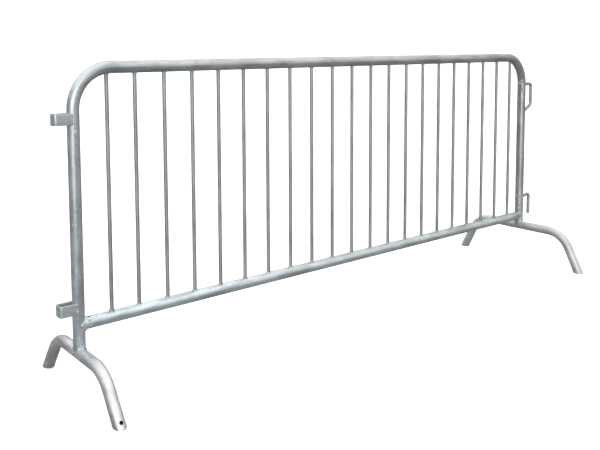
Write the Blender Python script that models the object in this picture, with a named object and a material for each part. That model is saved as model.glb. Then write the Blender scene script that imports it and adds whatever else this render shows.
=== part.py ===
"""Crowd control barrier: a welded steel panel on two arched feet.

Units are metres. X runs along the barrier, Y runs across it and Z is up, with the origin on the ground
at the middle. The strap loops are on the -X post and the hooks on the +X post. A second barrier hangs
its hooks in the first one's loops.
"""

import math

import bmesh
import bpy
from mathutils import Vector

# Tubes, rods and strap
TUBE_RADIUS = 0.02065
TUBE_WALL = 0.002
ROD_RADIUS = 0.007
STRAP_THICKNESS = 0.005
STRAP_HEIGHT = 0.038
GAP = 0.0003

# Panel
POST_SPACING = 2.520
HEIGHT = 1.095
CORNER_RADIUS = 0.135
BOTTOM_RAIL_Z = 0.235
BAR_COUNT = 21
BAR_PITCH = 0.115
FIRST_BAR_NUDGE = 0.010
VENT_RADIUS = 0.006
VENT_FROM_POST = 0.034

# Feet: the height and the half span are those of the tube's axis
LEFT_FOOT_HEIGHT = 0.139
LEFT_FOOT_HALF_SPAN = 0.274
LEFT_LEG_ANGLE = math.radians(54)
RIGHT_FOOT_HEIGHT = 0.184
RIGHT_FOOT_HALF_SPAN = 0.335
RIGHT_LEG_ANGLE = math.radians(64)
FOOT_BEND_RADIUS = 0.120
FOOT_CAP = 0.003
DRAIN_RADIUS = 0.0065
DRAIN_HEIGHT = 0.007
END_SIDES = {"front": -1, "rear": 1}

# Links: a reach is measured from the post's axis to the outermost surface
LOOP_REACH = 0.0715
LOOP_WIDTH = 0.042
LOOP_INNER_RADIUS = 0.004
UPPER_LOOP_Z = 0.9125
LOWER_LOOP_Z = 0.294
HOOK_RADIUS = 0.008
HOOK_REACH = 0.094
UPPER_HOOK_ARM_Z = 0.9346
UPPER_HOOK_ELBOW_Z = 0.824
UPPER_HOOK_END = Vector((0.0345, 0.0, 0.796))
LOWER_HOOK_ARM_Z = 0.3341
LOWER_HOOK_CREST_Z = 0.3443
LOWER_HOOK_END_Z = 0.2345
HOOK_BEND_RADIUS = 0.016
HOOK_STUB = 0.004

# Facets
TUBE_BEVEL_RESOLUTION = 8
ROD_BEVEL_RESOLUTION = 4
CUTTER_SEGMENTS = 32
ARC_STEP = math.radians(10)
SHARP_ANGLE = math.radians(35)
CAP_WELD = 0.00001

LEFT_X = -(POST_SPACING + HOOK_REACH - LOOP_REACH) / 2
RIGHT_X = LEFT_X + POST_SPACING
TOP_RAIL_Z = HEIGHT - TUBE_RADIUS
OVERRUN = 0.05
GROUND_BLOCK = Vector((0.2, 1.2, 0.4))

ZINC = (0.56, 0.58, 0.59)
ZINC_BLUE = (0.50, 0.54, 0.57)
ZINC_GREY = (0.47, 0.48, 0.48)


def clear_scene():
    for obj in list(bpy.data.objects):
        bpy.data.objects.remove(obj, do_unlink=True)


def new_collection(name):
    collection = bpy.data.collections.new(name)
    bpy.context.scene.collection.children.link(collection)
    return collection


def galvanised(name, colour, roughness):
    """Zinc-coated steel with the given tint."""
    material = bpy.data.materials.new(name)
    material.use_nodes = True
    shader = material.node_tree.nodes["Principled BSDF"]
    shader.inputs["Base Color"].default_value = (*colour, 1.0)
    shader.inputs["Metallic"].default_value = 0.9
    shader.inputs["Roughness"].default_value = roughness
    return material


def rounded_path(corners, radius):
    """The corner points of a bent tube, with each inner corner turned into an arc of the bend radius."""
    path = [Vector(corners[0])]
    for before, corner, after in zip(corners, corners[1:], corners[2:]):
        into = (Vector(corner) - Vector(before)).normalized()
        out = (Vector(after) - Vector(corner)).normalized()
        turn = into.angle(out)
        tangent = radius * math.tan(turn / 2)
        start = Vector(corner) - into * tangent
        side = (out - into * into.dot(out)).normalized()
        steps = max(2, round(turn / ARC_STEP))
        for step in range(steps + 1):
            angle = turn * step / steps
            path.append(start + into * radius * math.sin(angle) + side * radius * (1 - math.cos(angle)))
    path.append(Vector(corners[-1]))
    return path


def round_bar(name, path, radius, bevel_resolution, collection):
    """A solid round bar along a path: a bevelled curve turned into a mesh with welded caps."""
    curve = bpy.data.curves.new(name, "CURVE")
    curve.dimensions = "3D"
    curve.bevel_depth = radius
    curve.bevel_resolution = bevel_resolution
    curve.use_fill_caps = True
    spline = curve.splines.new("POLY")
    spline.points.add(len(path) - 1)
    for point, place in zip(spline.points, path):
        point.co = (*place, 1.0)
    return mesh_from_curve(name, curve, collection)


def mesh_from_curve(name, curve, collection):
    """Replaces a curve with a mesh object of the same shape, whose caps are welded on."""
    source = bpy.data.objects.new(name + "_curve", curve)
    bpy.context.scene.collection.objects.link(source)
    bpy.context.view_layer.update()
    evaluated = source.evaluated_get(bpy.context.evaluated_depsgraph_get())
    mesh = bpy.data.meshes.new_from_object(evaluated)
    mesh.name = name
    obj = bpy.data.objects.new(name, mesh)
    obj.matrix_world = source.matrix_world
    collection.objects.link(obj)
    bpy.data.objects.remove(source, do_unlink=True)
    work = bmesh.new()
    work.from_mesh(mesh)
    bmesh.ops.remove_doubles(work, verts=work.verts, dist=CAP_WELD)
    bmesh.ops.recalc_face_normals(work, faces=work.faces)
    work.to_mesh(mesh)
    work.free()
    return obj


def as_cutter(obj):
    obj.hide_render = True
    obj.display_type = "WIRE"
    return obj


def cylinder_cutter(name, start, end, radius, cutters):
    """A straight round cutter between two points."""
    work = bmesh.new()
    axis = Vector(end) - Vector(start)
    bmesh.ops.create_cone(
        work, cap_ends=True, segments=CUTTER_SEGMENTS, radius1=radius, radius2=radius, depth=axis.length
    )
    mesh = bpy.data.meshes.new(name)
    work.to_mesh(mesh)
    work.free()
    obj = bpy.data.objects.new(name, mesh)
    obj.location = (Vector(start) + Vector(end)) / 2
    obj.rotation_mode = "QUATERNION"
    obj.rotation_quaternion = axis.to_track_quat("Z", "Y")
    cutters.objects.link(obj)
    return as_cutter(obj)


def below_cutter(name, x, height, cutters):
    """A block that takes away everything under a foot below the given height."""
    work = bmesh.new()
    bmesh.ops.create_cube(work, size=1.0)
    bmesh.ops.scale(work, vec=GROUND_BLOCK, verts=work.verts)
    mesh = bpy.data.meshes.new(name)
    work.to_mesh(mesh)
    work.free()
    obj = bpy.data.objects.new(name, mesh)
    obj.location = (x, 0.0, height - GROUND_BLOCK.z / 2)
    cutters.objects.link(obj)
    return as_cutter(obj)


def cut(obj, *tools):
    for tool in tools:
        boolean = obj.modifiers.new("cut " + tool.name, "BOOLEAN")
        boolean.operation = "DIFFERENCE"
        boolean.solver = "EXACT"
        boolean.object = tool


def finish(obj, material):
    obj.data.materials.clear()
    obj.data.materials.append(material)
    obj.data.shade_smooth()
    obj.data.set_sharp_from_angle(angle=SHARP_ANGLE)


def tube(name, path, collection, cutters):
    """A hollow tube, open at both ends."""
    outer = round_bar(name, path, TUBE_RADIUS, TUBE_BEVEL_RESOLUTION, collection)
    first = path[0] + (path[0] - path[1]).normalized() * OVERRUN
    last = path[-1] + (path[-1] - path[-2]).normalized() * OVERRUN
    bore_path = [first, *path[1:-1], last]
    bore_radius = TUBE_RADIUS - TUBE_WALL
    bore = round_bar(name + "_bore", bore_path, bore_radius, TUBE_BEVEL_RESOLUTION, cutters)
    cut(outer, as_cutter(bore))
    return outer


def crown_cutter(name, x, height, cutters):
    """The straight middle of a foot, a little larger, which shapes the end of the post on it."""
    reach = 3 * TUBE_RADIUS
    return cylinder_cutter(name, (x, -reach, height), (x, reach, height), TUBE_RADIUS + GAP, cutters)


def frame_path():
    """The axis of the frame tube: up the left post, along the top and down the right post."""
    corners = [
        Vector((LEFT_X, 0.0, LEFT_FOOT_HEIGHT)),
        Vector((LEFT_X, 0.0, TOP_RAIL_Z)),
        Vector((RIGHT_X, 0.0, TOP_RAIL_Z)),
        Vector((RIGHT_X, 0.0, RIGHT_FOOT_HEIGHT)),
    ]
    return rounded_path(corners, CORNER_RADIUS)


def make_frame_tube(part, cutters, material):
    """Both posts and the top rail, bent from one tube."""
    frame = tube("frame_tube", frame_path(), part, cutters)
    cut(
        frame,
        crown_cutter("left_crown_space", LEFT_X, LEFT_FOOT_HEIGHT, cutters),
        crown_cutter("right_crown_space", RIGHT_X, RIGHT_FOOT_HEIGHT, cutters),
    )
    for name, height in (("upper_hook_hole", UPPER_HOOK_ARM_Z), ("lower_hook_hole", LOWER_HOOK_ARM_Z)):
        start = (RIGHT_X - 2 * TUBE_RADIUS, 0.0, height)
        end = (RIGHT_X + 2 * TUBE_RADIUS, 0.0, height)
        cut(frame, cylinder_cutter(name, start, end, HOOK_RADIUS + GAP, cutters))
    finish(frame, material)


def make_bottom_rail(part, cutters, material):
    """A straight tube shaped to the posts at both ends, with a vent near each end."""
    ends = [Vector((LEFT_X, 0.0, BOTTOM_RAIL_Z)), Vector((RIGHT_X, 0.0, BOTTOM_RAIL_Z))]
    rail = tube("bottom_rail", ends, part, cutters)
    for side, x in (("left", LEFT_X), ("right", RIGHT_X)):
        start = (x, 0.0, BOTTOM_RAIL_Z - 2 * TUBE_RADIUS)
        end = (x, 0.0, BOTTOM_RAIL_Z + 2 * TUBE_RADIUS)
        post_space = cylinder_cutter(side + "_post_space", start, end, TUBE_RADIUS + GAP, cutters)
        vent_x = x - math.copysign(VENT_FROM_POST, x)
        vent_end = (vent_x, 0.0, BOTTOM_RAIL_Z + 2 * TUBE_RADIUS)
        vent = cylinder_cutter(side + "_vent", (vent_x, 0.0, BOTTOM_RAIL_Z), vent_end, VENT_RADIUS, cutters)
        cut(rail, post_space, vent)
    finish(rail, material)


def bar_x(index):
    """The place of an infill bar along the barrier. The first one stands a little inward."""
    even = (LEFT_X + RIGHT_X) / 2 + (index - (BAR_COUNT - 1) / 2) * BAR_PITCH
    if index == 0:
        return even + FIRST_BAR_NUDGE
    return even


def make_bars(part, cutters, material):
    """Upright bars between the rails. Their ends are shaped to the rails, and to the corner bends."""
    clear_radius = TUBE_RADIUS + GAP
    frame_space = round_bar("frame_space", frame_path(), clear_radius, TUBE_BEVEL_RESOLUTION, cutters)
    as_cutter(frame_space)
    rail_ends = ((LEFT_X, 0.0, BOTTOM_RAIL_Z), (RIGHT_X, 0.0, BOTTOM_RAIL_Z))
    rail_space = cylinder_cutter("rail_space", *rail_ends, clear_radius, cutters)
    path = [Vector((0.0, 0.0, BOTTOM_RAIL_Z)), Vector((0.0, 0.0, TOP_RAIL_Z))]
    for index in range(BAR_COUNT):
        bar = round_bar(f"bar_{index + 1:02d}", path, ROD_RADIUS, ROD_BEVEL_RESOLUTION, part)
        bar.location.x = bar_x(index)
        cut(bar, frame_space, rail_space)
        finish(bar, material)


def foot_path(x, height, half_span, leg_angle, below):
    """The axis of a foot: level on top, with a leg that slopes down to the ground at each end."""
    shoulder = half_span - height / math.tan(leg_angle)
    toe = half_span + below / math.tan(leg_angle)
    corners = [
        Vector((x, -toe, -below)),
        Vector((x, -shoulder, height)),
        Vector((x, shoulder, height)),
        Vector((x, toe, -below)),
    ]
    return rounded_path(corners, FOOT_BEND_RADIUS)


def make_foot(name, x, height, half_span, leg_angle, drained, part, cutters, material):
    """An arched tube across the barrier, closed flat on the ground, with a drain at each listed end."""
    path = foot_path(x, height, half_span, leg_angle, OVERRUN)
    foot = round_bar(name, path, TUBE_RADIUS, TUBE_BEVEL_RESOLUTION, part)
    bore = round_bar(name + "_bore", path, TUBE_RADIUS - TUBE_WALL, TUBE_BEVEL_RESOLUTION, cutters)
    cut(bore, below_cutter(name + "_cap_space", x, FOOT_CAP, cutters))
    cut(foot, below_cutter(name + "_ground_space", x, 0.0, cutters), as_cutter(bore))
    for end in drained:
        side = END_SIDES[end]
        axis_y = half_span - DRAIN_HEIGHT / math.tan(leg_angle)
        outward = Vector((0.0, side * math.sin(leg_angle), math.cos(leg_angle)))
        on_axis = Vector((x, side * axis_y, DRAIN_HEIGHT))
        inside = on_axis + outward * TUBE_RADIUS / 2
        outside = on_axis + outward * 2 * TUBE_RADIUS
        cut(foot, cylinder_cutter(f"{name}_{end}_drain", inside, outside, DRAIN_RADIUS, cutters))
    finish(foot, material)


def loop_face(outset):
    """Points along a strap loop's inner face seen from above, or along one that lies outside it."""
    post_clearance = TUBE_RADIUS + GAP
    inner_half = LOOP_WIDTH / 2 - STRAP_THICKNESS
    leg_x = -math.sqrt(post_clearance**2 - inner_half**2)
    tip_x = -(LOOP_REACH - STRAP_THICKNESS + outset)
    half = inner_half + outset
    corners = [(leg_x, -half, 0.0), (tip_x, -half, 0.0), (tip_x, half, 0.0), (leg_x, half, 0.0)]
    return rounded_path(corners, LOOP_INNER_RADIUS + outset)


def make_strap_loop(name, height, part, material):
    """A flat strap bent square in plan. Its two legs end on the side of the post."""
    outline = loop_face(STRAP_THICKNESS) + loop_face(0.0)[::-1]
    curve = bpy.data.curves.new(name, "CURVE")
    curve.dimensions = "2D"
    curve.fill_mode = "BOTH"
    curve.extrude = STRAP_HEIGHT / 2
    spline = curve.splines.new("POLY")
    spline.points.add(len(outline) - 1)
    for point, place in zip(spline.points, outline):
        point.co = (*place, 1.0)
    spline.use_cyclic_u = True
    loop = mesh_from_curve(name, curve, part)
    loop.location = (LEFT_X, 0.0, height)
    finish(loop, material)


def make_hook(name, corners, part, material):
    """A bent round rod whose arm goes through the post and shows as a short stub on the inner side."""
    path = rounded_path(corners, HOOK_BEND_RADIUS)
    hook = round_bar(name, path, HOOK_RADIUS, ROD_BEVEL_RESOLUTION, part)
    hook.location.x = RIGHT_X
    finish(hook, material)


def make_hooks(part, material):
    stub_x = -(TUBE_RADIUS + HOOK_STUB)
    rod_x = HOOK_REACH - HOOK_RADIUS
    upper = [
        Vector((stub_x, 0.0, UPPER_HOOK_ARM_Z)),
        Vector((rod_x, 0.0, UPPER_HOOK_ARM_Z)),
        Vector((rod_x, 0.0, UPPER_HOOK_ELBOW_Z)),
        UPPER_HOOK_END,
    ]
    lower = [
        Vector((stub_x, 0.0, LOWER_HOOK_ARM_Z)),
        Vector((TUBE_RADIUS + HOOK_RADIUS, 0.0, LOWER_HOOK_ARM_Z)),
        Vector((rod_x, 0.0, LOWER_HOOK_CREST_Z)),
        Vector((rod_x, 0.0, LOWER_HOOK_END_Z)),
    ]
    make_hook("upper_hook", upper, part, material)
    make_hook("lower_hook", lower, part, material)


def main():
    clear_scene()
    part = new_collection("crowd_control_barrier")
    cutters = new_collection("cutters")
    tube_zinc = galvanised("tube_zinc", ZINC, 0.42)
    rod_zinc = galvanised("rod_zinc", ZINC_GREY, 0.45)
    strap_zinc = galvanised("strap_zinc", ZINC_BLUE, 0.40)
    make_frame_tube(part, cutters, tube_zinc)
    make_bottom_rail(part, cutters, tube_zinc)
    make_bars(part, cutters, rod_zinc)
    left = (LEFT_X, LEFT_FOOT_HEIGHT, LEFT_FOOT_HALF_SPAN, LEFT_LEG_ANGLE)
    right = (RIGHT_X, RIGHT_FOOT_HEIGHT, RIGHT_FOOT_HALF_SPAN, RIGHT_LEG_ANGLE)
    make_foot("left_foot", *left, ("front", "rear"), part, cutters, tube_zinc)
    make_foot("right_foot", *right, ("rear",), part, cutters, tube_zinc)
    make_strap_loop("upper_strap_loop", UPPER_LOOP_Z, part, strap_zinc)
    make_strap_loop("lower_strap_loop", LOWER_LOOP_Z, part, strap_zinc)
    make_hooks(part, rod_zinc)


main()
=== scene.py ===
"""Looks for the crowd control barrier: bent galvanised tube, welded bars, strap loops and hooks.

Metres, in the row frame: X along the barrier, Y across it, Z up from the ground. Every place is worked
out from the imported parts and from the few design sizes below.
"""

import math
import random

import bmesh
import bpy
import numpy as np
from mathutils import Matrix, Vector, noise


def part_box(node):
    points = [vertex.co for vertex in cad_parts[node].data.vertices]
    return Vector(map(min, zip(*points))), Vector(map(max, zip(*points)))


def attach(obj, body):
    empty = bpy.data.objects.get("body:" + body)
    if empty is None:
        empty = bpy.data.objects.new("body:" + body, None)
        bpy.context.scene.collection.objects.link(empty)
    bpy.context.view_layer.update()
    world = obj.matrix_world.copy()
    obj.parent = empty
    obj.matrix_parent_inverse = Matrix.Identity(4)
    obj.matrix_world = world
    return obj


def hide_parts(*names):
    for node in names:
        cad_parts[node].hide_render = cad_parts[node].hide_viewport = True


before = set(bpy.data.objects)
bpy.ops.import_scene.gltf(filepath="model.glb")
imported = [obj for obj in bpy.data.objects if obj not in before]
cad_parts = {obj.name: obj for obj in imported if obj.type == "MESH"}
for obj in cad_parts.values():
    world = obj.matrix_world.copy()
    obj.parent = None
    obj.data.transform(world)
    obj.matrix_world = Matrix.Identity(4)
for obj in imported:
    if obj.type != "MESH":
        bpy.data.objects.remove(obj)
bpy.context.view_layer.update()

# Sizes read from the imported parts
RAIL_LOW, RAIL_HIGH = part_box("bottom_rail")
FRAME_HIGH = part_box("frame_tube")[1]
LEFT_LOW, LEFT_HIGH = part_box("left_foot")
RIGHT_LOW, RIGHT_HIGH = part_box("right_foot")
BAR_LOW, BAR_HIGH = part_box("bar_02")
LOOP_LOW, LOOP_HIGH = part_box("upper_strap_loop")
HOOK_LOW, HOOK_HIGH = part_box("upper_hook")
TUBE_RADIUS = (RAIL_HIGH.z - RAIL_LOW.z) / 2
ROD_RADIUS = (BAR_HIGH.y - BAR_LOW.y) / 2
HOOK_RADIUS = (HOOK_HIGH.y - HOOK_LOW.y) / 2
UPPER_HOOK_ARM_Z = HOOK_HIGH.z - HOOK_RADIUS
LEFT_X = (LEFT_LOW.x + LEFT_HIGH.x) / 2
RIGHT_X = (RIGHT_LOW.x + RIGHT_HIGH.x) / 2
RAIL_Z = (RAIL_LOW.z + RAIL_HIGH.z) / 2
TOP_Z = FRAME_HIGH.z - TUBE_RADIUS
LEFT_CROWN_Z = LEFT_HIGH.z - TUBE_RADIUS
RIGHT_CROWN_Z = RIGHT_HIGH.z - TUBE_RADIUS
LOOP_WIDTH = LOOP_HIGH.y - LOOP_LOW.y
BAR_NODES = sorted(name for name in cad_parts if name.startswith("bar_"))

# Design sizes
TUBE_WALL = 0.002
CORNER_RADIUS = 0.135
FOOT_BEND_RADIUS = 0.120
LEFT_LEG_ANGLE = math.radians(54)
RIGHT_LEG_ANGLE = math.radians(64)
FOOT_CAP = 0.003
DRAIN_RADIUS = 0.0065
DRAIN_HEIGHT = 0.007
VENT_RADIUS = 0.006
VENT_FROM_POST = 0.034
STRAP_THICKNESS = 0.005
STRAP_EDGE_RADIUS = 0.0014
LOOP_INNER_RADIUS = 0.004
FOOT_EDGE_RADIUS = 0.0016
STRAP_END_ROUNDING = 0.0008
HOOK_BEND_RADIUS = 0.016
HOOK_START_ROUNDING = 0.0012
HOOK_END_ROUNDING = 0.0022
UPPER_HOOK_ELBOW_Z = 0.824
UPPER_HOOK_END = Vector((0.0345, 0.0, 0.796))
LOWER_HOOK_ARM_Z = 0.3341
LOWER_HOOK_CREST_Z = 0.3443

# Weld beads: the radius of each kind, and how lumpy it is
BAR_FOOT_BEAD = 0.0019
BAR_HEAD_BEAD = 0.0012
BAR_BEAD_SPREAD = 0.0006
FOOT_BEAD = 0.0028
RAIL_BEAD = 0.0030
LINK_BEAD = 0.0030
BAR_LUMPS = 0.25
TUBE_LUMPS = 0.7
LOOP_LUMPS = 0.5
HOOK_LUMPS = 0.4
LOOP_BEAD_INSET = 0.0030
LOOP_BEAD_OUT = 0.0012
LOOP_BEAD_END = 0.001

# How beads lean out of a joint, and their form: rises and sizes are shares of a bead's radius
JOINT_LEAN = 0.9
LOOP_BEAD_LEAN = 0.4
BEAD_RISE = 0.25
BEAD_RIPPLE_LENGTH = 0.0024
BEAD_RIPPLE_SIZE = 0.12
BEAD_LUMP_SCALE = 170
BEAD_SEED_STEP = 7.3
BEAD_SKIN_SIZE = 0.08
BEAD_SKIN_SCALE = 520
BEAD_TIP_SIZE = 0.05

# How uneven a drop of zinc is, and how far outward may point up before its side is taken along the barrier
DROP_LUMPS = 0.25
DROP_LUMP_SCALE = 1.7
DROP_SEED_STEP = 3.1
NEARLY_UPRIGHT = 0.9

# Mesh detail
TUBE_SIDES = 64
ROD_SIDES = 28
HOLE_SIDES = 40
BEAD_SIDES = 12
RIM_STEPS = 5
FOOT_EDGE_STEPS = 4
ARC_STEP = math.radians(4)
RING_SPACING = 0.05
BAR_RING_SPACING = 0.2
HOOK_RING_SPACING = 0.02
LOOP_RING_SPACING = 0.004
HOLE_REACH = 0.016
HOLE_RING_SPACING = 0.0016
CLEAR_OF_CUT = 0.003
CAP_INSET = 0.35
SHARP_ANGLE = math.radians(38)
WELD_SHARP_ANGLE = math.radians(75)
TUBE_JOINT_POINTS = 96
ROD_JOINT_POINTS = 40
JOINT_BACKOFF = 0.05
MEET_REACH = 0.03
MEET_HALVINGS = 40
BEAD_STEP = 0.0012
BEAD_LEAST_STEPS = 6
ROUNDING_SLACK = 1e-6
LEAST_GAIN = 1e-12
LEAST_LENGTH = 1e-9

# Each drop: where it is, the turn of its way out round the tube, and its size sideways, along and outward
POST_DROPS = [
    (LEFT_X, 0.568, math.radians(-150), (0.0040, 0.0075, 0.0016)),
    (LEFT_X, 0.868, math.radians(-95), (0.0050, 0.0100, 0.0012)),
    (LEFT_X, 0.160, math.radians(-120), (0.0045, 0.0050, 0.0022)),
    (LEFT_X, 0.166, math.radians(-60), (0.0060, 0.0040, 0.0020)),
    (RIGHT_X, 0.948, math.radians(-150), (0.0060, 0.0120, 0.0030)),
    (RIGHT_X, 0.905, math.radians(-140), (0.0030, 0.0140, 0.0016)),
    (RIGHT_X, 0.345, math.radians(-150), (0.0060, 0.0090, 0.0034)),
    (RIGHT_X, 0.298, math.radians(-140), (0.0050, 0.0080, 0.0024)),
    (RIGHT_X, 0.272, math.radians(-155), (0.0060, 0.0070, 0.0030)),
]
FOOT_DROPS = [
    (LEFT_X, -0.052, LEFT_CROWN_Z, math.radians(165), (0.0060, 0.0035, 0.0022)),
    (LEFT_X, -0.036, LEFT_CROWN_Z, math.radians(190), (0.0040, 0.0030, 0.0018)),
    (RIGHT_X, -0.050, RIGHT_CROWN_Z, math.radians(150), (0.0070, 0.0040, 0.0024)),
]
RAIL_DROPS = [
    (LEFT_X + 0.030, math.radians(140), (0.0060, 0.0040, 0.0024)),
    (LEFT_X + 0.034, math.radians(200), (0.0050, 0.0050, 0.0022)),
    (RIGHT_X - 0.036, math.radians(160), (0.0060, 0.0050, 0.0026)),
]

# Blobs on a strap loop's beads: the share of the height down from the top, and the size
LOOP_BLOBS = {
    "upper_strap_loop": ((0.25, (0.0040, 0.0055, 0.0036)), (0.85, (0.0048, 0.0050, 0.0040))),
    "lower_strap_loop": ((0.30, (0.0040, 0.0060, 0.0036)), (0.80, (0.0036, 0.0050, 0.0030))),
}

# Where along the zinc's pattern each piece starts, so that no two pieces look alike
PATTERN_START = {
    "frame_tube": 0.0,
    "bottom_rail": 7.0,
    "left_foot": 21.0,
    "right_foot": 24.0,
    "upper_strap_loop": 41.0,
    "lower_strap_loop": 43.0,
    "upper_hook": 51.0,
    "lower_hook": 53.0,
}
FIRST_BAR_PATTERN_START = 11.0
BAR_PATTERN_STEP = 1.3

# Zinc tones. Below the two heights a tube is painted lighter: painted light on the lower posts and the
# bottom rail. The right-end colours are painted shade towards the right end, and the bore is painted near
# black as shade.
COOL_TINT = (0.935, 1.0, 1.03, 1.0)
VIOLET_TINT = (0.985, 0.99, 1.02, 1.0)
PALE_TINT = (0.985, 1.0, 1.015, 1.0)
# The two right-end colours below darken the zinc towards the right end of the barrier: painted shade.
RIGHT_END_LIGHT_SHADE_TINT = (0.93, 0.94, 0.935, 1.0)
RIGHT_END_SHADE_TINT = (0.80, 0.81, 0.805, 1.0)
# Near black for the inside of a tube: painted shade in the bore.
BORE_PAINTED_SHADE = (0.03, 0.03, 0.03, 1.0)
# Colour cast, strength and heights of the painted light low on the tubes.
PAINTED_LIGHT_TINT = (0.95, 1.0, 1.005)
PAINTED_LIGHT_FULL_BELOW = 0.26
PAINTED_LIGHT_ENDS_AT = 0.50
BORE_EDGE = 0.0001

# The pattern's values at which the zinc is darkest and lightest
DARKEST_AT = 0.42
LIGHTEST_AT = 0.62

# Zinc patterns: how far each is drawn out along the tube, its scale, its detail and its roughness
PATCHES = (5.0, 42.0, 5.0, 0.62)
CLOUD = (2.0, 13.0, 3.0, 0.5)
SCRATCHES = (30.0, 900.0, 2.0, 0.5)
GRAIN = (1.0, 700.0, 3.0, 0.7)
SPANGLE_SCALE = 170.0
METALLIC = 0.85
MEAN_ROUGHENING = 0.11
BUMP_STRENGTH = 0.5
BUMP_HEIGHT = 0.0012

# Camera
CAMERA_PLACE = Vector((-2.2403, -2.1872, 1.1256))
CAMERA_YAW = math.radians(36.915)
CAMERA_PITCH = math.radians(4.667)
CAMERA_ROLL = math.radians(-0.550)
CAMERA_LENS = 43.870
CAMERA_SHIFT = (0.0978, -0.1917)
SENSOR_WIDTH = 36.0
CLIP_RANGE = (0.05, 100.0)

# Stage: tones as the camera sees them and as they light the barrier, the sky's from below to above
FLOOR_SIZE = 60.0
FLOOR_SEEN = 0.95
FLOOR_GLOW = 0.35
FLOOR_LIGHTING = (0.22, 0.22, 0.225, 1.0)
SKY_STOPS = ((0.0, 0.05), (0.49, 0.16), (0.56, 0.36), (0.75, 0.66), (1.0, 0.74))
WORLD_STRENGTH = 1.2

# Lights: name, where it is seen from the barrier, its spread in degrees, its strength
LIGHTS = [
    ("overhead", (-0.05, -0.05, 1.0), 110.0, 1.3),
    ("front_panel", (-0.62, -0.80, 0.12), 38.0, 1.7),
    ("side_panel", (0.55, -0.85, 0.0), 60.0, 0.35),
]

ACROSS = Vector((0.0, 1.0, 0.0))
ALONG = Vector((1.0, 0.0, 0.0))
UP = Vector((0.0, 0.0, 1.0))
FRONT, REAR = -1, 1

random.seed(20)


def register(obj, material, slot, *nodes, sharp_angle=SHARP_ANGLE):
    """Gives a piece its looks and puts it on the CAD body, in the place of the nodes it stands for."""
    obj.data.shade_smooth()
    obj.data.set_sharp_from_angle(angle=sharp_angle)
    obj.data.materials.append(material)
    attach(obj, "root")
    if nodes:
        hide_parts(*nodes)


def new_object(name, mesh):
    obj = bpy.data.objects.new(name, mesh)
    bpy.context.scene.collection.objects.link(obj)
    return obj


# Paths


def rounded_path(corners, radius):
    """Points along a bent tube's axis, with each inner corner turned into an arc."""
    path = [Vector(corners[0])]
    for before, corner, after in zip(corners, corners[1:], corners[2:]):
        into = (Vector(corner) - Vector(before)).normalized()
        out = (Vector(after) - Vector(corner)).normalized()
        turn = into.angle(out)
        start = Vector(corner) - into * radius * math.tan(turn / 2)
        side = (out - into * into.dot(out)).normalized()
        steps = max(3, round(turn / ARC_STEP))
        for step in range(steps + 1):
            angle = turn * step / steps
            path.append(start + into * radius * math.sin(angle) + side * radius * (1 - math.cos(angle)))
    path.append(Vector(corners[-1]))
    return path


def split_long(path, longest, near=None, reach=0.0):
    """The same path with more points, so that no step is longer than given, at least near a place."""
    made = [path[0]]
    for start, end in zip(path, path[1:]):
        along = end - start
        cuts = [0.0, along.length]
        if near is not None:
            foot = (near - start).dot(along.normalized())
            away = (near - start - along.normalized() * foot).length
            if away > reach or foot + reach < 0 or foot - reach > along.length:
                made.append(end)
                continue
            cuts += [min(max(foot - reach, 0.0), along.length), min(max(foot + reach, 0.0), along.length)]
        cuts = sorted(set(cuts))
        for a, b in zip(cuts, cuts[1:]):
            inside = near is None or abs((a + b) / 2 - foot) < reach
            steps = max(1, math.ceil((b - a) / longest - ROUNDING_SLACK)) if inside else 1
            for step in range(1, steps + 1):
                made.append(start + along.normalized() * (a + (b - a) * step / steps))
    return made


def tangents(path):
    """The direction of the path at each of its points."""
    directions = []
    for index in range(len(path)):
        before = path[max(index - 1, 0)]
        after = path[min(index + 1, len(path) - 1)]
        directions.append((after - before).normalized())
    directions[0] = (path[1] - path[0]).normalized()
    directions[-1] = (path[-1] - path[-2]).normalized()
    return directions


def frame_axis():
    corners = [
        Vector((LEFT_X, 0.0, LEFT_CROWN_Z)),
        Vector((LEFT_X, 0.0, TOP_Z)),
        Vector((RIGHT_X, 0.0, TOP_Z)),
        Vector((RIGHT_X, 0.0, RIGHT_CROWN_Z)),
    ]
    return rounded_path(corners, CORNER_RADIUS)


def foot_half_span(high, angle):
    """How far from the post's axis a leg's axis meets the ground, from the foot's box."""
    return high.y - TUBE_RADIUS / math.sin(angle)


def foot_axis(x, crown, half_span, angle):
    shoulder = half_span - crown / math.tan(angle)
    corners = [
        Vector((x, -half_span, 0.0)),
        Vector((x, -shoulder, crown)),
        Vector((x, shoulder, crown)),
        Vector((x, half_span, 0.0)),
    ]
    return rounded_path(corners, FOOT_BEND_RADIUS)


def distance_to(path):
    """A function that gives a point's distance to the path."""
    points = np.array([tuple(p) for p in path])
    starts, steps = points[:-1], np.diff(points, axis=0)
    squares = (steps**2).sum(1)

    def distance(point):
        rel = np.array(tuple(point)) - starts
        share = np.clip((rel * steps).sum(1) / squares, 0, 1)
        return float(np.sqrt(((rel - steps * share[:, None]) ** 2).sum(1)).min())

    return distance


def meet(point, direction, distance, radius):
    """The point moved along the direction to the near surface of another tube."""
    low, high = -MEET_REACH, MEET_REACH
    for _ in range(MEET_HALVINGS):
        middle = (low + high) / 2
        if distance(point + direction * middle) > radius:
            low = middle
        else:
            high = middle
    return point + direction * low


def meet_square(point, direction, centre, axis, radius):
    """The point moved along the direction to the near side of a straight round tube."""
    axis = axis.normalized()
    rel = point - centre
    rel -= axis * rel.dot(axis)
    along = direction - axis * direction.dot(axis)
    a, b, c = along.dot(along), rel.dot(along), rel.dot(rel) - radius * radius
    root = math.sqrt(max(b * b - a * c, 0.0))
    return point + direction * ((-b - root) / a)


# Meshes


def ring_around(centre, tangent, across, section):
    """One ring of a sweep. The section's points are given across and square to the path's plane."""
    inward = across.cross(tangent).normalized()
    return [centre + inward * a + across * b for a, b in section]


def circle(radius, sides):
    step = 2 * math.pi / sides
    return [(radius * math.cos(step * i), radius * math.sin(step * i)) for i in range(sides)]


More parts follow.
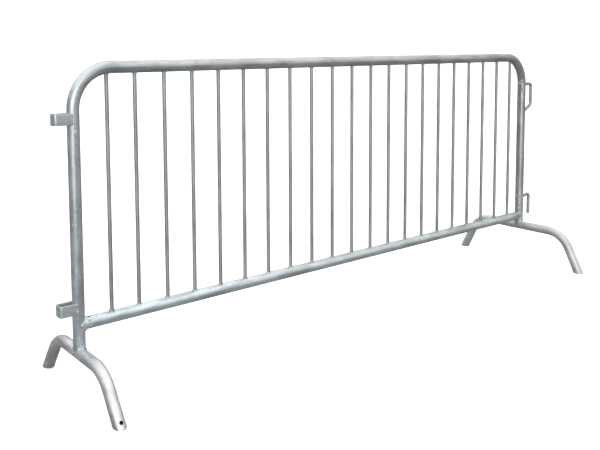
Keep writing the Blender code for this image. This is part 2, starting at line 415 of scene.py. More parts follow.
def skin(work, rings, closed=False):
    """Faces between rings of points that have the same number of points."""
    made = [[work.verts.new(point) for point in ring] for ring in rings]
    pairs = list(zip(made, made[1:])) + ([(made[-1], made[0])] if closed else [])
    for low, high in pairs:
        for i in range(len(low)):
            j = (i + 1) % len(low)
            work.faces.new((low[i], low[j], high[j], high[i]))
    return made


def bridge(work, inner, outer):
    for i in range(len(inner)):
        j = (i + 1) % len(inner)
        work.faces.new((inner[i], inner[j], outer[j], outer[i]))


def settle_faces(work):
    """Puts the faces in the same order in every run, which a bevel doesn't do."""
    work.verts.index_update()
    ordered = sorted(work.faces, key=lambda face: sorted(vert.index for vert in face.verts))
    rank = {face: place for place, face in enumerate(ordered)}
    work.faces.sort(key=rank.get)


def to_object(name, work):
    bmesh.ops.recalc_face_normals(work, faces=work.faces)
    mesh = bpy.data.meshes.new(name)
    work.to_mesh(mesh)
    work.free()
    return new_object(name, mesh)


def pipe(name, path, across, fit_start, fit_end):
    """A hollow tube along a path. Its end rings are moved along the tube by the two fit functions."""
    work = bmesh.new()
    directions = tangents(path)
    ends = []
    for radius in (TUBE_RADIUS, TUBE_RADIUS - TUBE_WALL):
        section = circle(radius, TUBE_SIDES)
        rings = [ring_around(p, t, across, section) for p, t in zip(path, directions)]
        rings[0] = [fit_start(point) for point in rings[0]]
        rings[-1] = [fit_end(point) for point in rings[-1]]
        ends.append(skin(work, rings))
    bridge(work, ends[0][0], ends[1][0])
    bridge(work, ends[0][-1], ends[1][-1])
    return to_object(name, work)


def rod(name, path, across, sides, radius, fit_start=None, fit_end=None, round_start=0.0, round_end=0.0):
    """A solid round bar along a path. An end is fitted to another surface, or has a rounded rim."""
    work = bmesh.new()
    directions = tangents(path)
    section = circle(radius, sides)
    rings = [ring_around(p, t, across, section) for p, t in zip(path, directions)]
    if fit_start:
        rings[0] = [fit_start(point) for point in rings[0]]
    if fit_end:
        rings[-1] = [fit_end(point) for point in rings[-1]]
    if round_start:
        rings = rim(path[0], -directions[0], across, sides, radius, round_start)[::-1] + rings[1:]
    if round_end:
        rings = rings[:-1] + rim(path[-1], directions[-1], across, sides, radius, round_end)
    made = skin(work, rings)
    for ring in (made[0], made[-1]):
        cap(work, ring)
    return to_object(name, work)


def rim(end, outward, across, sides, radius, rounding):
    """Rings of a rounded edge that finishes flush with the bar's end, from the bar outward."""
    rings = []
    inward = across.cross(outward)
    for step in range(RIM_STEPS + 1):
        angle = math.pi / 2 * step / RIM_STEPS
        back = rounding * (1 - math.sin(angle))
        small = radius - rounding * (1 - math.cos(angle))
        centre = end - outward * back
        rings.append([centre + inward * a + across * b for a, b in circle(small, sides)])
    return rings


def cap(work, ring):
    """Closes a ring with a slightly smaller ring and a face, which keeps the shading flat."""
    centre = sum((v.co for v in ring), Vector()) / len(ring)
    inner = [work.verts.new(v.co.lerp(centre, CAP_INSET)) for v in ring]
    bridge(work, ring, inner)
    work.faces.new(inner)


def drill(obj, start, end, radius):
    """Cuts a round hole between two points."""
    work = bmesh.new()
    axis = end - start
    matrix = Matrix.Translation((start + end) / 2) @ axis.to_track_quat("Z", "Y").to_matrix().to_4x4()
    sizes = {"radius1": radius, "radius2": radius, "depth": axis.length}
    bmesh.ops.create_cone(work, cap_ends=True, segments=HOLE_SIDES, matrix=matrix, **sizes)
    cutter = to_object("cutter", work)
    cut = obj.modifiers.new("hole", "BOOLEAN")
    cut.operation, cut.solver, cut.object = "DIFFERENCE", "EXACT", cutter
    evaluated = obj.evaluated_get(bpy.context.evaluated_depsgraph_get())
    mesh = bpy.data.meshes.new_from_object(evaluated)
    obj.modifiers.clear()
    obj.data = mesh
    bpy.data.objects.remove(cutter, do_unlink=True)


def straighten(obj, path, across, start):
    """Stores where each point would be if the tube were pulled straight, so that the finish follows it.

    start is where along the zinc's pattern the piece begins.
    """
    co = np.array([v.co for v in obj.data.vertices], float).reshape(-1, 3)
    points = np.array([tuple(p) for p in path])
    starts, steps = points[:-1], np.diff(points, axis=0)
    lengths = np.sqrt((steps**2).sum(1))
    before = np.concatenate([[0.0], np.cumsum(lengths)[:-1]])
    best = np.full(len(co), np.inf)
    flat = np.zeros((len(co), 3))
    side = np.array(tuple(across))
    for k in range(len(steps)):
        tangent = steps[k] / lengths[k]
        rel = co - starts[k]
        along = rel @ tangent
        low = -np.inf if k == 0 else 0.0
        high = np.inf if k == len(steps) - 1 else lengths[k]
        held = np.clip(along, low, high)
        gap = ((rel - held[:, None] * tangent) ** 2).sum(1)
        nearer = gap < best - LEAST_GAIN
        inward = np.cross(side, tangent)
        best[nearer] = gap[nearer]
        flat[nearer, 0] = (rel @ inward)[nearer]
        flat[nearer, 1] = (rel @ side)[nearer]
        flat[nearer, 2] = (before[k] + along)[nearer]
    store_place(obj, flat + np.array([0.0, 0.0, start]))


def store_place(obj, values):
    """Stores the finish's coordinates and each point's share of the way from the left post to the right."""
    attribute = obj.data.attributes.new("flow", "FLOAT_VECTOR", "POINT")
    attribute.data.foreach_set("vector", values.astype(np.float32).ravel())
    share = [(v.co.x - LEFT_X) / (RIGHT_X - LEFT_X) for v in obj.data.vertices]
    obj.data.attributes.new("share", "FLOAT", "POINT").data.foreach_set("value", share)


def place_as_is(obj):
    """Stores the points' own places, for small pieces that have no tube to follow."""
    co = np.array([v.co for v in obj.data.vertices], float).reshape(-1, 3)
    store_place(obj, co)


# Tubes


def make_frame_tube(material):
    axis = frame_axis()
    path = split_long(axis, RING_SPACING)

    def on_left_foot(point):
        return meet_square(point, -UP, Vector((LEFT_X, 0, LEFT_CROWN_Z)), ACROSS, TUBE_RADIUS)

    def on_right_foot(point):
        return meet_square(point, -UP, Vector((RIGHT_X, 0, RIGHT_CROWN_Z)), ACROSS, TUBE_RADIUS)

    obj = pipe("frame_tube_skin", path, ACROSS, on_left_foot, on_right_foot)
    straighten(obj, axis, ACROSS, PATTERN_START["frame_tube"])
    register(obj, material, "galvanised_tube", "frame_tube")


def make_bottom_rail(material):
    ends = [Vector((LEFT_X, 0, RAIL_Z)), Vector((RIGHT_X, 0, RAIL_Z))]
    path = split_long(ends, RING_SPACING)
    vents = [Vector((LEFT_X + VENT_FROM_POST, 0, RAIL_Z)), Vector((RIGHT_X - VENT_FROM_POST, 0, RAIL_Z))]
    for vent in vents:
        path = split_long(path, HOLE_RING_SPACING, vent, HOLE_REACH)

    def on_left_post(point):
        return meet_square(point, -ALONG, ends[0], UP, TUBE_RADIUS)

    def on_right_post(point):
        return meet_square(point, ALONG, ends[1], UP, TUBE_RADIUS)

    obj = pipe("bottom_rail_skin", path, ACROSS, on_left_post, on_right_post)
    for vent in vents:
        drill(obj, vent, vent + UP * 2 * TUBE_RADIUS, VENT_RADIUS)
    straighten(obj, ends, ACROSS, PATTERN_START["bottom_rail"])
    register(obj, material, "galvanised_tube", "bottom_rail")


def make_foot(node, high, x, crown, angle, drained, material):
    """One foot. drained lists the sides whose leg has a drain hole just above the ground."""
    half_span = foot_half_span(high, angle)
    axis = foot_axis(x, crown, half_span, angle)
    path = split_long(axis, RING_SPACING)
    drains = []
    for side in drained:
        on_axis = Vector((x, side * (half_span - DRAIN_HEIGHT / math.tan(angle)), DRAIN_HEIGHT))
        outward = Vector((0.0, side * math.sin(angle), math.cos(angle)))
        drains.append((on_axis, outward))
        path = split_long(path, HOLE_RING_SPACING, on_axis, HOLE_REACH)
    obj = foot_shell(node + "_skin", path)
    for on_axis, outward in drains:
        drill(obj, on_axis + outward * TUBE_RADIUS / 2, on_axis + outward * 2 * TUBE_RADIUS, DRAIN_RADIUS)
    straighten(obj, axis, ALONG, PATTERN_START[node])
    register(obj, material, "galvanised_tube", node)


def foot_shell(name, path):
    """A hollow foot whose two ends are cut level with the ground and closed by a plate with soft edges."""
    work = bmesh.new()
    directions = tangents(path)
    outer = circle(TUBE_RADIUS, TUBE_SIDES)
    inner = circle(TUBE_RADIUS - TUBE_WALL, TUBE_SIDES)
    outer_rings = [ring_around(p, t, ALONG, outer) for p, t in zip(path, directions)]
    inner_rings = [ring_around(p, t, ALONG, inner) for p, t in zip(path, directions)]
    for rings, height in ((outer_rings, 0.0), (inner_rings, FOOT_CAP)):
        drop_to(rings, height)
    outer_rings[:1] = foot_edge(outer_rings[0], outer_rings[1])[::-1]
    outer_rings[-1:] = foot_edge(outer_rings[-1], outer_rings[-2])
    for rings in (outer_rings, inner_rings):
        made = skin(work, rings)
        cap(work, made[0])
        cap(work, made[-1])
    return to_object(name, work)


def foot_edge(ring, beyond):
    """Rings that round off a foot's edge, from the leg down to the ground. beyond is the ring above."""
    centre = sum(ring, Vector()) / len(ring)
    rows = []
    for step in range(FOOT_EDGE_STEPS + 1):
        turn = math.pi / 2 * step / FOOT_EDGE_STEPS
        shrink = FOOT_EDGE_RADIUS * (1 - math.cos(turn)) / TUBE_RADIUS
        lift = FOOT_EDGE_RADIUS * (1 - math.sin(turn))
        row = []
        for point, up in zip(ring, beyond):
            rise = (up - point) / (up - point).z
            row.append((point + rise * lift).lerp(centre + UP * lift, shrink))
        rows.append(row)
    return rows


def drop_to(rings, height):
    """Moves the end rings of a foot along its legs to one height above the ground."""
    for place, beyond in ((0, 1), (-1, -2)):
        while any(point.z <= height + CLEAR_OF_CUT for point in rings[beyond]):
            del rings[beyond]
        moved = []
        for point, up in zip(rings[place], rings[beyond]):
            along = up - point
            moved.append(point + along * ((height - point.z) / along.z))
        rings[place] = moved


# Bars


def bar_fits():
    """The two functions that bring a bar's end points onto the bottom rail and onto the frame tube."""
    distance = distance_to(frame_axis())

    def on_rail(point):
        return meet_square(point, -UP, Vector((0, 0, RAIL_Z)), ALONG, TUBE_RADIUS)

    def on_frame(point):
        return meet(point, UP, distance, TUBE_RADIUS)

    return on_rail, on_frame


def make_bars(material):
    on_rail, on_frame = bar_fits()
    for index, node in enumerate(BAR_NODES):
        low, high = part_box(node)
        x = (low.x + high.x) / 2
        path = [Vector((x, 0, RAIL_Z + TUBE_RADIUS)), Vector((x, 0, TOP_Z - TUBE_RADIUS))]
        middle = split_long(path, BAR_RING_SPACING)
        obj = rod(node + "_skin", middle, ACROSS, ROD_SIDES, ROD_RADIUS, on_rail, on_frame)
        straighten(obj, path, ACROSS, FIRST_BAR_PATTERN_START + BAR_PATTERN_STEP * index)
        register(obj, material, "galvanised_rod", node)


# Links


def loop_line(reach, outset):
    """A strap loop's line seen from above: its inner face, or one that lies outside it."""
    inner_half = LOOP_WIDTH / 2 - STRAP_THICKNESS
    leg_x = -math.sqrt(TUBE_RADIUS**2 - inner_half**2)
    tip_x = -(reach - STRAP_THICKNESS + outset)
    half = inner_half + outset
    corners = [(leg_x, -half, 0.0), (tip_x, -half, 0.0), (tip_x, half, 0.0), (leg_x, half, 0.0)]
    return rounded_path(corners, LOOP_INNER_RADIUS + outset)


def strap_section(height):
    """A strap's cross-section with rounded edges, as thickness and height."""
    rounding = STRAP_EDGE_RADIUS
    points = []
    for corner in range(4):
        cx = (STRAP_THICKNESS / 2 - rounding) * (1 if corner in (0, 3) else -1)
        cy = (height / 2 - rounding) * (1 if corner < 2 else -1)
        for step in range(RIM_STEPS + 1):
            angle = math.pi / 2 * (corner + step / RIM_STEPS)
            points.append((cx + rounding * math.cos(angle), cy + rounding * math.sin(angle)))
    return points


def make_strap_loop(node, material):
    low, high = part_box(node)
    reach = LEFT_X - low.x
    centre = Vector((LEFT_X, 0, (low.z + high.z) / 2))
    flat_line = split_long(loop_line(reach, STRAP_THICKNESS / 2), LOOP_RING_SPACING)
    line = [centre + point for point in flat_line]
    work = bmesh.new()
    section = strap_section(high.z - low.z)
    directions = tangents(line)
    rings = [ring_around(p, t, UP, section) for p, t in zip(line, directions)]
    made = skin(work, rings)
    for ring in (made[0], made[-1]):
        edges = list(work.faces.new(ring).edges)
        bmesh.ops.bevel(
            work, geom=edges, offset=STRAP_END_ROUNDING, segments=3, profile=0.5, affect="EDGES"
        )
    settle_faces(work)
    obj = to_object(node + "_skin", work)
    straighten(obj, line, UP, PATTERN_START[node])
    register(obj, material, "galvanised_strap", node)


def make_hook(node, corners, material):
    path = split_long(rounded_path(corners, HOOK_BEND_RADIUS), HOOK_RING_SPACING)
    rounding = {"round_start": HOOK_START_ROUNDING, "round_end": HOOK_END_ROUNDING}
    obj = rod(node + "_skin", path, ACROSS, ROD_SIDES, HOOK_RADIUS, **rounding)
    straighten(obj, path, ACROSS, PATTERN_START[node])
    register(obj, material, "galvanised_rod", node)


def make_hooks(material):
    lower_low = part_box("lower_hook")[0]
    rod_x = HOOK_HIGH.x - HOOK_RADIUS
    upper = [
        Vector((HOOK_LOW.x, 0, UPPER_HOOK_ARM_Z)),
        Vector((rod_x, 0, UPPER_HOOK_ARM_Z)),
        Vector((rod_x, 0, UPPER_HOOK_ELBOW_Z)),
        Vector((RIGHT_X, 0, 0)) + UPPER_HOOK_END,
    ]
    lower = [
        Vector((lower_low.x, 0, LOWER_HOOK_ARM_Z)),
        Vector((RIGHT_X + TUBE_RADIUS + HOOK_RADIUS, 0, LOWER_HOOK_ARM_Z)),
        Vector((rod_x, 0, LOWER_HOOK_CREST_Z)),
        Vector((rod_x, 0, lower_low.z)),
    ]
    make_hook("upper_hook", upper, material)
    make_hook("lower_hook", lower, material)


# Welds


def bead(work, line, ways, radius, lumps, seed, closed=True):
    """A lumpy weld bead along a line. ways gives the direction that each point's bead is pushed to.

    lumps is how uneven it is, as a share of its radius. The seed makes its lumps unlike other beads'.
    """
    points = resample(line, closed)
    pushes = resample(line, closed, ways)
    count = len(points)
    rings = []
    for k, (point, push) in enumerate(zip(points, pushes)):
        before = points[(k - 1) % count if closed else max(k - 1, 0)]
        after = points[(k + 1) % count if closed else min(k + 1, count - 1)]
        tangent = (after - before).normalized()
        push = (push - tangent * push.dot(tangent)).normalized()
        wave = 0.5 - 0.5 * math.cos(2 * math.pi * k * BEAD_STEP / BEAD_RIPPLE_LENGTH)
        uneven = noise.noise(point * BEAD_LUMP_SCALE + ALONG * (seed * BEAD_SEED_STEP))
        size = radius * (1 + BEAD_RIPPLE_SIZE * wave + lumps * uneven)
        if not closed:
            into = min(min(k, count - 1 - k) * BEAD_STEP / radius, 1.0)
            size *= max(math.sqrt(1 - (1 - into) ** 2), BEAD_TIP_SIZE)
        across = tangent.cross(push)
        ring = []
        for a, b in circle(size, BEAD_SIDES):
            place = point + push * (BEAD_RISE * radius) + across * a + push * b
            ring.append(place + push * (BEAD_SKIN_SIZE * radius * noise.noise(place * BEAD_SKIN_SCALE)))
        rings.append(ring)
    made = skin(work, rings, closed)
    if not closed:
        work.faces.new(made[0])
        work.faces.new(made[-1])


def resample(line, closed, values=None):
    """Evenly spaced points along a line, or the values there if values are given at the line's points."""
    points = list(line) + ([line[0]] if closed else [])
    given = list(values or line)
    given += [given[0]] if closed else []
    lengths = [(b - a).length for a, b in zip(points, points[1:])]
    count = max(BEAD_LEAST_STEPS, round(sum(lengths) / BEAD_STEP))
    made, segment, done = [], 0, 0.0
    for k in range(count if closed else count + 1):
        goal = sum(lengths) * k / count
        while segment < len(lengths) - 1 and done + lengths[segment] < goal:
            done += lengths[segment]
            segment += 1
        share = (goal - done) / max(lengths[segment], LEAST_LENGTH)
        made.append(given[segment].lerp(given[segment + 1], min(max(share, 0.0), 1.0)))
    return made


def lump(work, centre, outward, size, seed):
    """A small run or drop of zinc. size gives its reach sideways, up or along, and outward."""
    outward = outward.normalized()
    side = UP.cross(outward).normalized() if abs(outward.z) < NEARLY_UPRIGHT else ALONG
    other = outward.cross(side)
    matrix = Matrix((side * size[0], other * size[1], outward * size[2])).transposed().to_4x4()
    made = bmesh.ops.create_icosphere(work, subdivisions=3, radius=1.0)
    for vert in made["verts"]:
        uneven = noise.noise(vert.co * DROP_LUMP_SCALE + ALONG * (seed * DROP_SEED_STEP))
        vert.co = centre + matrix @ (vert.co * (1 + DROP_LUMPS * uneven))


def joint_ring(centre, direction, radius, fit, steps):
    """The line where a round bar's surface meets another surface, and the way out of the corner there."""
    direction = direction.normalized()
    side = direction.orthogonal().normalized()
    other = direction.cross(side)
    line, ways = [], []
    for k in range(steps):
        angle = 2 * math.pi * k / steps
        radial = side * math.cos(angle) + other * math.sin(angle)
        line.append(fit(centre + radial * radius))
        ways.append((radial - direction * JOINT_LEAN).normalized())
    return line, ways


def tube_joint(centre, direction, axis, radius, steps):
    """The joint ring of a round bar that runs in the direction and ends on a tube round the axis."""

    def on_tube(point):
        return meet_square(point, direction, centre, axis, TUBE_RADIUS)

    return joint_ring(centre - direction * JOINT_BACKOFF, direction, radius, on_tube, steps)


def make_bar_welds(material):
    on_rail, on_frame = bar_fits()
    feet = ("bottom_rail_bar_welds", -UP, RAIL_Z + TUBE_RADIUS, on_rail, BAR_FOOT_BEAD)
    heads = ("top_rail_bar_welds", UP, TOP_Z - TUBE_RADIUS, on_frame, BAR_HEAD_BEAD)
    for label, direction, z, fit, least in (feet, heads):
        work = bmesh.new()
        for index, node in enumerate(BAR_NODES):
            low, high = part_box(node)
            start = Vector(((low.x + high.x) / 2, 0, z))
            line, ways = joint_ring(start, direction, ROD_RADIUS, fit, ROD_JOINT_POINTS)
            radius = least + BAR_BEAD_SPREAD * random.random()
            bead(work, line, ways, radius, BAR_LUMPS, index + 31 * len(label))
        weld_object(label, work, material)


def weld_object(name, work, material):
    obj = to_object(name, work)
    place_as_is(obj)
    register(obj, material, "galvanised_tube", sharp_angle=WELD_SHARP_ANGLE)


def make_frame_welds(material):
    """Welds between the posts and the feet, and between the bottom rail and the posts."""
    left_foot = ("left_foot_weld", Vector((LEFT_X, 0, LEFT_CROWN_Z)), -UP, ACROSS, FOOT_BEAD, -13)
    right_foot = ("right_foot_weld", Vector((RIGHT_X, 0, RIGHT_CROWN_Z)), -UP, ACROSS, FOOT_BEAD, 12)
    left_rail = ("rail_left_weld", Vector((LEFT_X, 0, RAIL_Z)), -ALONG, UP, RAIL_BEAD, -25)
    right_rail = ("rail_right_weld", Vector((RIGHT_X, 0, RAIL_Z)), ALONG, UP, RAIL_BEAD, 25)
    for label, centre, direction, axis, radius, seed in (left_foot, right_foot, left_rail, right_rail):
        work = bmesh.new()
        line, ways = tube_joint(centre, direction, axis, TUBE_RADIUS, TUBE_JOINT_POINTS)
        bead(work, line, ways, radius, TUBE_LUMPS, seed)
        weld_object(label, work, material)


def make_link_welds(material):
    """Upright beads at the ends of the strap loops' legs, and beads round the hooks' arms."""
    for node in ("upper_strap_loop", "lower_strap_loop"):
        work = bmesh.new()
        low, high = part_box(node)
        for side in (1, -1):
            corner = Vector((high.x + LOOP_BEAD_OUT, side * (LOOP_WIDTH / 2 - LOOP_BEAD_INSET), 0.0))
            way = Vector((LOOP_BEAD_LEAN, side, 0.0)).normalized()
            line = [corner + UP * (low.z + LOOP_BEAD_END), corner + UP * (high.z - LOOP_BEAD_END)]
            seed = side + 5 + high.z * 9
            bead(work, line, [way, way], LINK_BEAD, LOOP_LUMPS, seed, closed=False)
            for share, size in LOOP_BLOBS[node]:
                lump(work, corner + UP * (high.z - share * (high.z - low.z)), way, size, side + share)
        weld_object(node + "_welds", work, material)
    for node, arm_z in (("upper_hook", UPPER_HOOK_ARM_Z), ("lower_hook", LOWER_HOOK_ARM_Z)):
        work = bmesh.new()
        centre = Vector((RIGHT_X, 0, arm_z))
        for direction, seed in ((-ALONG, 3), (ALONG, -3)):
            line, ways = tube_joint(centre, direction, UP, HOOK_RADIUS, ROD_JOINT_POINTS)
            bead(work, line, ways, LINK_BEAD, HOOK_LUMPS, seed)
        weld_object(node + "_welds", work, material)


def make_drops(material):
    """Drops and runs of zinc, each on the surface of a tube."""
    work = bmesh.new()
    for index, (x, z, turn, size) in enumerate(POST_DROPS):
        outward = Vector((math.cos(turn), math.sin(turn), 0.0))
        lump(work, Vector((x, 0.0, z)) + outward * TUBE_RADIUS, outward, size, index)
    for x, y, crown, turn, size in FOOT_DROPS:
        outward = Vector((math.cos(turn), 0.0, math.sin(turn)))
        lump(work, Vector((x, y, crown)) + outward * TUBE_RADIUS, outward, size, y * 40)
    for x, turn, size in RAIL_DROPS:
        outward = Vector((0.0, math.cos(turn), math.sin(turn)))
        lump(work, Vector((x, 0.0, RAIL_Z)) + outward * TUBE_RADIUS, outward, size, x * 9)
    weld_object("zinc_drops", work, material)


# Materials


def add(tree, kind, inputs=None, **settings):
    node = tree.nodes.new(kind)
    for name, value in settings.items():
        setattr(node, name, value)
    for key, value in (inputs or {}).items():
        socket = node.inputs[key]
        if isinstance(value, bpy.types.NodeSocket):
            tree.links.new(value, socket)
        else:
            socket.default_value = value
    return node


def grey(level):
    return (level, level, level, 1.0)


def ramp(tree, value, stops):
    """Turns a value into a grey level. stops gives the level at some of the values."""
    node = add(tree, "ShaderNodeValToRGB", {"Fac": value})
    elements = node.color_ramp.elements
    while len(elements) < len(stops):
        elements.new(0.5)
    for element, (position, level) in zip(elements, stops):
        element.position = position
        element.color = grey(level)
    return node.outputs["Color"]


def multiply(tree, a, b):
    return add(tree, "ShaderNodeMath", {0: a, 1: b}, operation="MULTIPLY").outputs[0]


def plus(tree, a, b):
    return add(tree, "ShaderNodeMath", {0: a, 1: b}, operation="ADD").outputs[0]


def mix_colour(tree, share, a, b, blend="MIX"):
    node = tree.nodes.new("ShaderNodeMix")
    node.data_type = "RGBA"
    node.blend_type = blend
    for socket, value in ((node.inputs[0], share), (node.inputs[6], a), (node.inputs[7], b)):
        if isinstance(value, bpy.types.NodeSocket):
            tree.links.new(value, socket)
        else:
            socket.default_value = value
    return node.outputs[2]


def weighted_sum(tree, *terms):
    """The sum of some values, each times its own weight."""
    total = None
    for value, weight in terms:
        part = multiply(tree, value, weight)
        total = part if total is None else plus(tree, total, part)
    return total


def noise_value(tree, vector, stretch, scale, detail, roughness):
    """Noise between 0 and 1, drawn out along the tube by the given stretch."""
    drawn = add(tree, "ShaderNodeMapping", {"Vector": vector, "Scale": (1.0, 1.0, 1 / stretch)}).outputs[0]
    inputs = {"Vector": drawn, "Scale": scale, "Detail": detail, "Roughness": roughness}
    return add(tree, "ShaderNodeTexNoise", inputs).outputs["Fac"]


def zinc(name, light, dark, end_tints_and_shade, roughness, bump=1.0, painted_light_gain=1.0, hollow=False):
    """Hot-dip zinc: soft patches and runs along the tube, spangle, scuffs and a slightly uneven skin. Its
    colour also carries painted light low down on the tubes, painted shade towards the right end and painted
    shade in the bore.

    light and dark are grey levels. The two end colours are those at the left and the right end of the
    barrier; the darker right one is painted shade.
    """
    material = bpy.data.materials.new(name)
    material.use_nodes = True
    tree = material.node_tree
    shader = tree.nodes["Principled BSDF"]
    flow = add(tree, "ShaderNodeAttribute", attribute_name="flow").outputs["Vector"]
    patches = noise_value(tree, flow, *PATCHES)
    cloud = noise_value(tree, flow, *CLOUD)
    scratch = noise_value(tree, flow, *SCRATCHES)
    grain = noise_value(tree, flow, *GRAIN)
    cells = add(tree, "ShaderNodeTexVoronoi", {"Vector": flow, "Scale": SPANGLE_SCALE}).outputs["Color"]
    spangle = add(tree, "ShaderNodeSeparateColor", {"Color": cells}).outputs["Red"]
    share = weighted_sum(tree, (patches, 0.62), (cloud, 0.38), (spangle, 0.08))
    share = ramp(tree, share, ((DARKEST_AT, 0.0), (LIGHTEST_AT, 1.0)))
    colour = mix_colour(tree, share, grey(dark), grey(light))
    # Blends from the left end's colour to the right one along the barrier; the darker right one is painted
    # shade.
    along = add(tree, "ShaderNodeAttribute", attribute_name="share").outputs["Fac"]
    tint_and_shade = mix_colour(tree, along, *end_tints_and_shade)
    colour = mix_colour(tree, 1.0, colour, tint_and_shade, "MULTIPLY")
    # Below the two heights the colour is painted lighter: painted light on the lower tubes.
    if painted_light_gain != 1.0:
        place = add(tree, "ShaderNodeTexCoord").outputs["Object"]
        height = add(tree, "ShaderNodeSeparateXYZ", {"Vector": place}).outputs["Z"]
        low = ramp(tree, height, ((PAINTED_LIGHT_FULL_BELOW, 1.0), (PAINTED_LIGHT_ENDS_AT, 0.0)))
        lightest = (*(painted_light_gain * value for value in PAINTED_LIGHT_TINT), 1.0)
        painted_light = mix_colour(tree, low, grey(1.0), lightest)
        colour = mix_colour(tree, 1.0, colour, painted_light, "MULTIPLY")
    # Paints the inside of a hollow tube near black: painted shade in the bore.
    if hollow:
        inner = add(tree, "ShaderNodeVectorMath", {0: flow, 1: (1.0, 1.0, 0.0)}, operation="MULTIPLY")
        depth = add(tree, "ShaderNodeVectorMath", {0: inner.outputs[0]}, operation="LENGTH")
        bore = TUBE_RADIUS - TUBE_WALL
        stops = {"From Min": bore + BORE_EDGE, "From Max": bore + 3 * BORE_EDGE}
        outside = add(tree, "ShaderNodeMapRange", {"Value": depth.outputs["Value"], **stops}).outputs[0]
        colour = mix_colour(tree, outside, BORE_PAINTED_SHADE, colour)
    tree.links.new(colour, shader.inputs["Base Color"])
    shader.inputs["Metallic"].default_value = METALLIC
    rough = weighted_sum(tree, (share, 0.10), (scratch, 0.10), (spangle, 0.05))
    rough = plus(tree, rough, roughness - MEAN_ROUGHENING)
    tree.links.new(rough, shader.inputs["Roughness"])
    relief = {
        "Height": weighted_sum(tree, (patches, 0.5), (grain, 0.16), (spangle, 0.04)),
        "Strength": BUMP_STRENGTH * bump,
        "Distance": BUMP_HEIGHT,
    }
    bumped = add(tree, "ShaderNodeBump", relief)
    tree.links.new(bumped.outputs["Normal"], shader.inputs["Normal"])
    return material


def make_materials():
    # Each pair runs from the left end's colour to the right one; the darker right one is painted shade.
    tube, rod = (COOL_TINT, RIGHT_END_SHADE_TINT), (VIOLET_TINT, RIGHT_END_LIGHT_SHADE_TINT)
    foot, dull = (PALE_TINT, RIGHT_END_SHADE_TINT), (PALE_TINT, RIGHT_END_LIGHT_SHADE_TINT)
    return {
        "tube": zinc("zinc_tube", 0.63, 0.40, tube, 0.35, painted_light_gain=1.30, hollow=True),
        "foot": zinc("zinc_foot", 0.78, 0.50, foot, 0.37, bump=1.4, hollow=True),
        "dull_foot": zinc("zinc_dull_foot", 0.75, 0.56, dull, 0.57, hollow=True),
        "rod": zinc("zinc_rod", 0.46, 0.31, rod, 0.50),
        "strap": zinc("zinc_strap", 0.66, 0.50, tube, 0.44),
        "weld": zinc("zinc_weld", 0.72, 0.27, tube, 0.34, bump=1.8),
    }


# Stage


def make_camera():
    data = bpy.data.cameras.new("camera")
    data.lens = CAMERA_LENS
    data.sensor_width = SENSOR_WIDTH
    data.shift_x, data.shift_y = CAMERA_SHIFT
    data.clip_start, data.clip_end = CLIP_RANGE
    camera = bpy.data.objects.new("camera", data)
    bpy.context.scene.collection.objects.link(camera)
    level = math.cos(CAMERA_PITCH)
    forward = Vector((math.sin(CAMERA_YAW) * level, math.cos(CAMERA_YAW) * level, -math.sin(CAMERA_PITCH)))
    right = Vector((math.cos(CAMERA_YAW), -math.sin(CAMERA_YAW), 0.0))
    up = right.cross(forward)
    turned = right * math.cos(CAMERA_ROLL) + up * math.sin(CAMERA_ROLL)
    upright = turned.cross(forward)
    camera.matrix_world = Matrix(
        (
            (turned.x, upright.x, -forward.x, CAMERA_PLACE.x),
            (turned.y, upright.y, -forward.y, CAMERA_PLACE.y),
            (turned.z, upright.z, -forward.z, CAMERA_PLACE.z),
            (0.0, 0.0, 0.0, 1.0),
        )
    )
    bpy.context.scene.camera = camera


def make_floor():
    work = bmesh.new()
    bmesh.ops.create_grid(work, x_segments=1, y_segments=1, size=FLOOR_SIZE)
    floor = to_object("floor", work)
    material = bpy.data.materials.new("pale_floor")
    material.use_nodes = True
    tree = material.node_tree
    shader = tree.nodes["Principled BSDF"]
    seen = add(tree, "ShaderNodeLightPath").outputs["Is Camera Ray"]
    colour = mix_colour(tree, seen, FLOOR_LIGHTING, grey(FLOOR_SEEN))
    tree.links.new(colour, shader.inputs["Base Color"])
    shader.inputs["Roughness"].default_value = 0.9
    tree.links.new(multiply(tree, seen, FLOOR_GLOW), shader.inputs["Emission Strength"])
    shader.inputs["Emission Color"].default_value = grey(1.0)
    shader.inputs["Specular IOR Level"].default_value = 0.0
    floor.data.materials.append(material)


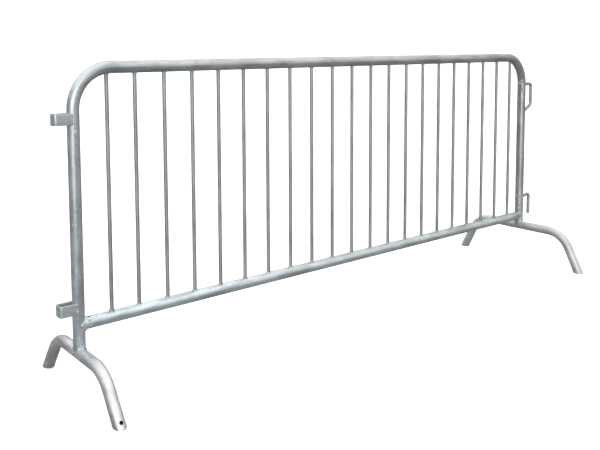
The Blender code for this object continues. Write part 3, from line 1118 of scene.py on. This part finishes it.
def make_world():
    """A white studio: white to look at, with a light sky, a dimmer horizon and a dark ground as light."""
    world = bpy.data.worlds.new("studio")
    bpy.context.scene.world = world
    world.use_nodes = True
    tree = world.node_tree
    background = tree.nodes["Background"]
    direction = add(tree, "ShaderNodeTexCoord").outputs["Generated"]
    height = add(tree, "ShaderNodeSeparateXYZ", {"Vector": direction}).outputs["Z"]
    limits = {"Value": height, "From Min": -1.0, "From Max": 1.0}
    height = add(tree, "ShaderNodeMapRange", limits).outputs["Result"]
    sky = ramp(tree, height, SKY_STOPS)
    seen = add(tree, "ShaderNodeLightPath").outputs["Is Camera Ray"]
    colour = mix_colour(tree, seen, sky, grey(1.0))
    tree.links.new(colour, background.inputs["Color"])
    background.inputs["Strength"].default_value = WORLD_STRENGTH


def make_light(name, towards, spread, strength):
    """A soft light of one brightness everywhere, like a large panel far away. towards points at it."""
    data = bpy.data.lights.new(name, "SUN")
    data.energy = strength
    data.angle = math.radians(spread)
    light = bpy.data.objects.new(name, data)
    bpy.context.scene.collection.objects.link(light)
    light.rotation_mode = "QUATERNION"
    light.rotation_quaternion = Vector(towards).to_track_quat("Z", "Y")


def main():
    bpy.context.scene.view_settings.view_transform = "Standard"
    materials = make_materials()
    make_frame_tube(materials["tube"])
    make_bottom_rail(materials["tube"])
    left = (LEFT_HIGH, LEFT_X, LEFT_CROWN_Z, LEFT_LEG_ANGLE, (FRONT, REAR))
    right = (RIGHT_HIGH, RIGHT_X, RIGHT_CROWN_Z, RIGHT_LEG_ANGLE, (REAR,))
    make_foot("left_foot", *left, materials["foot"])
    make_foot("right_foot", *right, materials["dull_foot"])
    make_bars(materials["rod"])
    make_strap_loop("upper_strap_loop", materials["strap"])
    make_strap_loop("lower_strap_loop", materials["strap"])
    make_hooks(materials["rod"])
    make_bar_welds(materials["weld"])
    make_frame_welds(materials["weld"])
    make_link_welds(materials["weld"])
    make_drops(materials["weld"])
    make_camera()
    make_floor()
    make_world()
    for light in LIGHTS:
        make_light(*light)


main()
